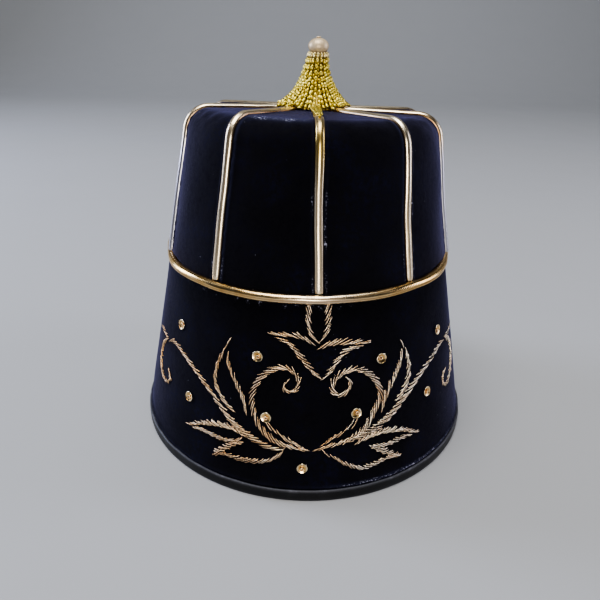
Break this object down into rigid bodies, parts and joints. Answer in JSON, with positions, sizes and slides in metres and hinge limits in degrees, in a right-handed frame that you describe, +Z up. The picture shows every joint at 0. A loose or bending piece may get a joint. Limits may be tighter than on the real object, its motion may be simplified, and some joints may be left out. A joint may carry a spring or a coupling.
{
  "type": "javanese wedding cap",
  "caption": "Tall tapering round velvet court cap with gold strips, a gold cord, goldwork band, dark rim binding and a bead tassel under a pearly bead.",
  "frame": {"origin": "middle of the cap on the plane that its rim rests on", "axes": "+Z up through the tassel, front of the cap at -Y, +X to the wearer's left"},
  "size_m": [0.196, 0.196, 0.2137],
  "materials": {
    "velvet": "dark navy velvet with a short pile",
    "gold_cord": "twisted metallic gold cord",
    "gold_strip": "domed strip of pale gold foil, satin",
    "gold_thread": "pale gold coiled-wire embroidery thread",
    "spangle": "polished gold disc",
    "gold_bead": "metallised gold bead",
    "pearl": "champagne pearl lustre",
    "binding": "dark grey grained leather-like strip"
  },
  "bodies": {
    "root": {"crown": "velvet", "band": "velvet", "ring_piping": "gold_cord", "rim_binding": "binding", "rib_01": "gold_strip", "rib_02": "gold_strip", "rib_03": "gold_strip", "rib_04": "gold_strip", "rib_05": "gold_strip", "rib_06": "gold_strip", "rib_07": "gold_strip", "rib_08": "gold_strip", "rib_09": "gold_strip", "rib_10": "gold_strip", "tassel": "gold_bead", "finial_bead": "pearl", "finial_stopper": "pearl", "spangle_front_1": "spangle", "spangle_front_2": "spangle", "spangle_front_3": "spangle", "spangle_front_4": "spangle", "spangle_front_5": "spangle", "spangle_front_6": "spangle", "spangle_front_7": "spangle", "spangle_front_8": "spangle", "spangle_front_9": "spangle", "spangle_back_1": "spangle", "spangle_back_2": "spangle", "spangle_back_3": "spangle", "spangle_back_4": "spangle", "spangle_back_5": "spangle", "spangle_back_6": "spangle", "spangle_back_7": "spangle", "spangle_back_8": "spangle", "spangle_back_9": "spangle"}
  },
  "joints": []
}
